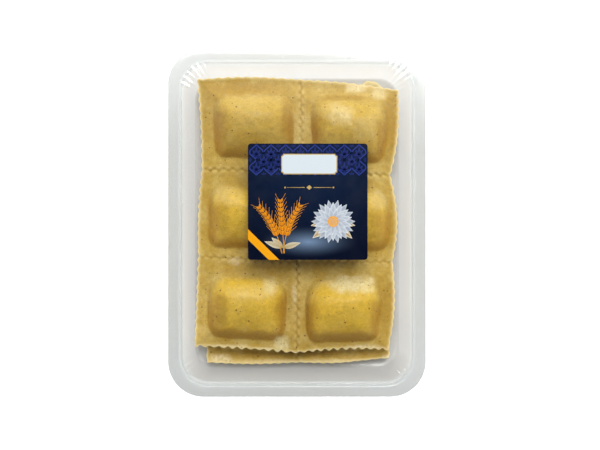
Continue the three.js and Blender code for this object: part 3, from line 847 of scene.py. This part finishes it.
def leaf(length, width, tones=(1.0, 0.4, 0.75), base=0.4, stations=7):
    """A flat leaf from the origin along +Y. Its left edge, rib and right edge have a tone each."""
    t = np.linspace(0, 1, stations)[1:-1]
    half = width / 2 * np.sin(pi * t ** 0.8)
    blade = [(side * h, length * k) for h, k in zip(half, t) for side in (-1, 0, 1)]
    shade = [tones[1] * base] + [tone * (base + (1 - base) * k) for k in t for tone in tones] + [tones[0]]
    last = len(blade) + 1
    faces = [[0, 3, 2], [0, 2, 1], [last - 3, last - 2, last], [last - 2, last - 1, last]]
    for k in range(1, last - 5, 3):
        faces += [[k, k + 1, k + 4, k + 3], [k + 1, k + 2, k + 5, k + 4]]
    return np.array([(0, 0), *blade, (0, length)], float), faces, shade


def strip(path, width, tone=1.0, end_tone=None):
    """A flat strip along a line of points."""
    path = np.array(path, float)
    along = np.gradient(path, axis=0)
    side = np.stack([-along[:, 1], along[:, 0]], 1) * width / 2 / np.linalg.norm(along, axis=1, keepdims=True)
    count = len(path)
    faces = [[k, k + 1, count + k + 1, count + k] for k in range(count - 1)]
    shade = list(np.linspace(tone, tone if end_tone is None else end_tone, count))
    return np.concatenate([path - side, path + side]), faces, shade * 2


def disc(radius, middle=1.0, edge=0.5, points=12):
    turn = np.linspace(0, 2 * pi, points, endpoint=False)
    ring = radius * np.stack([np.cos(turn), np.sin(turn)], 1)
    faces = [[0, 1 + k, 1 + (k + 1) % points] for k in range(points)]
    return np.concatenate([[(0, 0)], ring]), faces, [middle] + [edge] * points


def fan(outline, tone):
    """A flat shape with one tone, from its outline anticlockwise."""
    return np.array(outline, float), [list(range(len(outline)))], [tone] * len(outline)


def moved(shape, turn=0.0, x=0.0, y=0.0):
    points, faces, shade = shape
    c, s = cos(turn), sin(turn)
    return points @ np.array([[c, s], [-s, c]]) + (x, y), faces, shade


def together(*shapes):
    points, faces, shade = [], [], []
    for more_points, more_faces, more_shade in shapes:
        faces += [[k + len(points) for k in face] for face in more_faces]
        points += list(more_points)
        shade += list(more_shade)
    return np.array(points), faces, shade


def toned(name, points, faces, shade, finish=None):
    piece = mesh_piece(name, points, faces, finish, smooth=False)
    tones = piece.data.attributes.new(PRINTED, "FLOAT", "POINT")
    tones.data.foreach_set("value", np.array(shade, np.float32))
    return piece


def motif(name, shape):
    """A shape round the origin, for a tree to repeat."""
    points, faces, shade = shape
    return toned(name, [(x * MM, y * MM, 0) for x, y in points], faces, shade)


pieces = []


def printed(name, shape, ink_used, layer, x=0.0, y=0.0, turn=0.0):
    """A shape in its place on a layer of the label."""
    points, faces, shade = moved(shape, turn, x, y)
    pieces.append(toned(name, [on_label(x, y, layer) for x, y in points], faces, shade, ink_used))


class Ornament(Recipe):
    """A Geometry Nodes tree that repeats a motif. Its inputs are given by name when it prints."""

    def __init__(self, name, **inputs):
        tree = bpy.data.node_groups.new(name, "GeometryNodeTree")
        super().__init__(tree, "GeometryNode")
        sockets(tree, "OUTPUT", Geometry="Geometry")
        sockets(tree, "INPUT", **inputs, Motif="Object", Place="Vector", Ink="Material")
        self.given = tree.nodes.new("NodeGroupInput").outputs
        self.motif = self("ObjectInfo", Object=self.given["Motif"], out="Geometry")

    def end(self, geometry):
        """Moves what the tree made to its place, makes the copies real and inks them."""
        placed = self("Transform", Geometry=geometry, Translation=self.given["Place"])
        inked = self("SetMaterial", Geometry=self("RealizeInstances", placed), Material=self.given["Ink"])
        self.feed(self.tree.nodes.new("NodeGroupOutput").inputs, {0: inked})

    def printed(self, name, ink_used, **values):
        """Adds the plain mesh that the tree makes from its inputs."""
        piece = mesh_piece(name, [], [])
        modifier = piece.modifiers.new(name, "NODES")
        modifier.node_group = self.tree
        for item in self.tree.interface.items_tree:
            if item.in_out == "INPUT":
                modifier[item.identifier] = {**values, "Ink": ink_used.made}[item.name]
        depsgraph = bpy.context.evaluated_depsgraph_get()
        made = bpy.data.meshes.new_from_object(piece.evaluated_get(depsgraph), depsgraph=depsgraph)
        piece.modifiers.clear()
        piece.data = made
        pieces.append(piece)


# A lattice: copies of a motif in rows, every other row half a pitch along.
lattice = Ornament("lattice", Columns="Int", Rows="Int", Pitch="Float", Rise="Float")
columns, rows, pitch, rise = lattice.given[:4]
grid = lattice("MeshGrid", lattice.times(pitch, lattice.maths("SUBTRACT", columns, 1)),
               lattice.times(rise, lattice.maths("SUBTRACT", rows, 1)), columns, rows)
number = lattice("InputIndex")
odd = lattice.maths("MODULO", lattice.maths("MODULO", number, rows), 2)
half_along = lattice.vector(X=lattice.times(odd, lattice.times(pitch, 0.5)))
last_column = lattice.maths("GREATER_THAN", lattice.maths("DIVIDE", number, rows),
                            lattice.maths("SUBTRACT", columns, 1.001))
whole = lattice("DeleteGeometry", Geometry=lattice("SetPosition", Geometry=grid, Offset=half_along),
                Selection=lattice.times(last_column, odd))
lattice.end(lattice("InstanceOnPoints", Points=whole, Instance=lattice.motif))

# A whorl: copies of a motif round a circle, each lifted a little on one side, over its neighbour.
whorl = Ornament("whorl", Count="Int", Radius="Float", Turn="Float", Lift="Float")
count, radius, turn, lift = whorl.given[:4]
outward = whorl.maths("MULTIPLY_ADD", whorl("InputIndex"), whorl.maths("DIVIDE", 2 * pi, count),
                      -pi / 2)
petals = whorl("InstanceOnPoints", Points=whorl("MeshCircle", Vertices=count, Radius=radius),
               Instance=whorl.motif, Rotation=whorl.vector(Y=lift, Z=outward))
whorl.end(whorl("Transform", Geometry=petals, Rotation=whorl.vector(Z=turn)))

# An ear: copies of a motif in pairs along the upper part of a bent stalk, smaller towards its tip.
GRAIN_LIFT = 0.004
TIP_SIZE = 0.75
ear = Ornament("ear", Start="Vector", Middle="Vector", End="Vector", Pairs="Int", Bare="Float",
               Spread="Float", Stalk="Float")
start, middle, end, pairs, bare, spread, stalk = ear.given[:7]
bent = ear("CurveQuadraticBezier", Resolution=24, Start=start, Middle=middle, End=end)
places = ear("ResampleCurve", Curve=ear("TrimCurve", Curve=bent, Start=bare), Count=pairs)
tangent = ear.axes(ear("InputTangent"))
heading = ear.maths("ARCTAN2", ear.times(tangent["X"], -1), tangent["Y"])
size = ear.maths("MULTIPLY_ADD", ear("SplineParameter"), TIP_SIZE - 1, 1)
joined = ear.tree.nodes.new("GeometryNodeJoinGeometry")
for side in (-1, 1):
    grain_turn = ear.vector(Y=GRAIN_LIFT * side, Z=ear.maths("MULTIPLY_ADD", spread, side, heading))
    ear.feed(joined.inputs, {0: ear("InstanceOnPoints", Points=places, Instance=ear.motif,
                                    Rotation=grain_turn, Scale=size)})
ends = {name: ear.vector(X=ear.times(stalk, side)) for name, side in (("Start", -0.5), ("End", 0.5))}
flat = ear("CurveToMesh", Curve=ear("SetCurveNormal", mode="Z_UP", Curve=bent),
           Profile_Curve=ear("CurvePrimitiveLine", **ends))
ear.feed(joined.inputs, {0: ear("StoreNamedAttribute", Geometry=flat, Name=PRINTED, Value=0.8)})
ear.end(joined.outputs[0])

# The band: palmettes in ogee frames, half a frame apart from row to row, and trefoils at its edges.
OGEE_WIDTH, OGEE_HEIGHT = 7.85, 8.2
BAND_MIDDLE = 22.35
BAND_EDGE = 7.9
bow = np.linspace(0, 1, 9)
right_bow = np.stack([OGEE_WIDTH * 0.47 * np.sin(pi * bow) ** 1.5, OGEE_HEIGHT * (bow - 0.5)], 1)
palmette = motif("palmette", together(
    strip(right_bow, 0.62, 1.0), strip(right_bow[::-1] * (-1, 1), 0.62, 1.0),
    *(moved(leaf(length, 1.25, (1.0, 0.35, 0.9)), turn, 0, -1.6)
      for turn, length in ((0, 4.6), (0.62, 3.5), (-0.62, 3.5), (1.35, 2.6), (-1.35, 2.6))),
    moved(leaf(1.5, 0.9), pi, 0, -1.9), moved(disc(0.5), 0, 0, -1.7)))
trefoil = together(*(moved(leaf(1.5, 0.75), turn) for turn in (0, 1.1, -1.1)), disc(0.32, points=8))
upright, hung = motif("trefoil", trefoil), motif("hung_trefoil", moved(trefoil, pi))
for name, columns, rows, repeated, y in (("band", 8, 3, palmette, 0),
                                         ("band_edge", 7, 1, upright, -BAND_EDGE),
                                         ("band_edge", 7, 1, hung, BAND_EDGE)):
    lattice.printed(name, silk_blue, Columns=columns, Rows=rows, Pitch=OGEE_WIDTH * MM,
                    Rise=OGEE_HEIGHT / 2 * MM, Motif=repeated, Place=on_label(0, BAND_MIDDLE + y, 1))
for side in (-1, 1):
    printed("band_side", trefoil, silk_blue, 1, side * (label_half.x - 0.8), BAND_MIDDLE, side * pi / 2)


def plaque(half_x, half_y, notch):
    """A plaque with one tone and a round notch in each corner."""
    outline = []
    for sx, sy, start in ((1, -1, pi), (1, 1, 1.5 * pi), (-1, 1, 0), (-1, -1, 0.5 * pi)):
        turn = start - np.linspace(0, pi / 2, 6)
        outline += [(sx * half_x + notch * cos(t), sy * half_y + notch * sin(t)) for t in turn]
    return fan(outline, 0.9)


PLAQUE_X, PLAQUE_Y = 0.8, 20.1
printed("plaque_frame", plaque(15.0, 5.5, 1.1), gold, 3, PLAQUE_X, PLAQUE_Y)
printed("plaque", plaque(14.5, 5.0, 1.0), plaque_white, 4, PLAQUE_X, PLAQUE_Y)

# The gold rule, with a lozenge and two beads.
RULE_Y, RULE_HALF = 7.6, 12.0
half_rule = strip([(2.4, 0), (RULE_HALF, 0)], 0.3, 1.0, 0.3)
bead = moved(disc(0.5), 0, RULE_HALF + 0.9)
printed("rule", together(fan([(1.5, 0), (0, 1.3), (-1.5, 0), (0, -1.3)], 1.0), half_rule,
                         moved(half_rule, pi), moved(bead, pi), bead), gold, 1, PLAQUE_X, RULE_Y)

# The flower: three whorls of petals round a seeded disc, over two pairs of leaves.
FLOWER = (13.6, -10.6)
for turn, length, width in ((2.25, 14.2, 5.4), (-2.3, 13.6, 5.2), (1.75, 12.2, 4.4), (-1.75, 12.0, 4.4)):
    blade = leaf(length, width, (0.9, 0.2, 0.65), 0.2)
    rib = strip([(0, 5.0), (0.15, 8.0), (0, length * 0.93)], 0.24, 0.9)
    printed("flower_leaf", blade, ivory, 1 + (length > 13), *FLOWER, turn)
    printed("leaf_rib", rib, brown, 3, *FLOWER, turn)
for count, turn, length, width, tones, layer in (
        (14, 0.0, 11.8, 4.6, (0.72, 0.3, 0.5), 4), (14, 0.224, 10.4, 4.1, (1.0, 0.55, 0.85), 5),
        (11, 0.1, 7.4, 3.2, (1.0, 0.5, 0.8), 6)):
    petal = motif("petal", leaf(length, width, tones, 0.3))
    whorl.printed("petals", petal_white, Count=count, Radius=0.0, Turn=turn, Lift=0.003, Motif=petal,
                  Place=on_label(*FLOWER, layer))
    bpy.data.objects.remove(petal)
printed("flower_disc", disc(2.9, 0.5, 0.9, 24), amber, 7, *FLOWER)
seed = motif("seed", disc(0.3, 0.9, 0.3, 6))
for count, radius in ((4, 0.45), (9, 1.2), (14, 2.0)):
    whorl.printed("seeds", ivory, Count=count, Radius=radius * MM, Turn=0.3 * radius, Lift=0.0, Motif=seed,
                  Place=on_label(*FLOWER, INK_LAYERS))

# The wheat: three ears with awns on bent stalks, tied over two leaves.
SHEAF_X = -13.2
awn = strip([(0, 3.3), (0.15, 5.2), (0.4, 7.6)], 0.2, 0.9, 0.55)
wheat_grain = motif("grain", together(leaf(3.7, 1.75, (1.0, 0.35, 0.7), 0.35, 6), awn))
for k, (middle, end) in enumerate((((-16.6, -12.5), (-25.2, -3.6)), ((-11.4, -12.0), (-4.8, -3.0)),
                                   ((-13.9, -12.0), (-14.6, -0.5)))):
    bow = {name: Vector((*place, 0)) * MM for name, place in (
        ("Start", (SHEAF_X + 0.8 * k - 0.8, -27.6)), ("Middle", middle), ("End", end))}
    ear.printed("wheat", amber, **bow, Pairs=8, Bare=0.36, Spread=0.52, Stalk=0.3 * MM, Motif=wheat_grain,
                Place=on_label(0, 0, 3 + k))
for turn, length in ((1.25, 10.5), (-1.3, 9.8), (0.85, 8.2)):
    blade = leaf(length, 3.2, (0.9, 0.25, 0.6), 0.3)
    printed("wheat_leaf", blade, ivory, 1 + (turn > 1), SHEAF_X, -24.6, turn)
printed("tie", strip([(-1.5, 0), (0, 0.15), (1.5, 0)], 1.1, 0.8), gold, 7, SHEAF_X, -24.4)

# The ribbon across the lower left corner.
printed("ribbon", fan([(-label_half.x, -14.6), (-label_half.x, -20.2), (-20.9, -label_half.y),
                       (-15.2, -label_half.y)], 0.8), orange, 2)

ring, _ = rounded_ring(label_half.x, label_half.y, LABEL_CORNER)
count = len(ring)
thickness = (label_high.z - label_low.z - INK_LAYERS * INK_STEP) * MM
points = [on_label(x, y, 0) - Vector((0, 0, drop)) for drop in (thickness, 0) for x, y in ring]
faces = [list(range(count, 2 * count)), list(range(count))[::-1], *ring_faces(2, count)]
label = mesh_piece("label_sheet", points, faces, navy, smooth=False)
with bpy.context.temp_override(active_object=label, object=label, selected_editable_objects=[label, *pieces]):
    bpy.ops.object.join()
for repeated in (palmette, upright, hung, seed, wheat_grain):
    bpy.data.objects.remove(repeated)
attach(label, "root")
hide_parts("label")
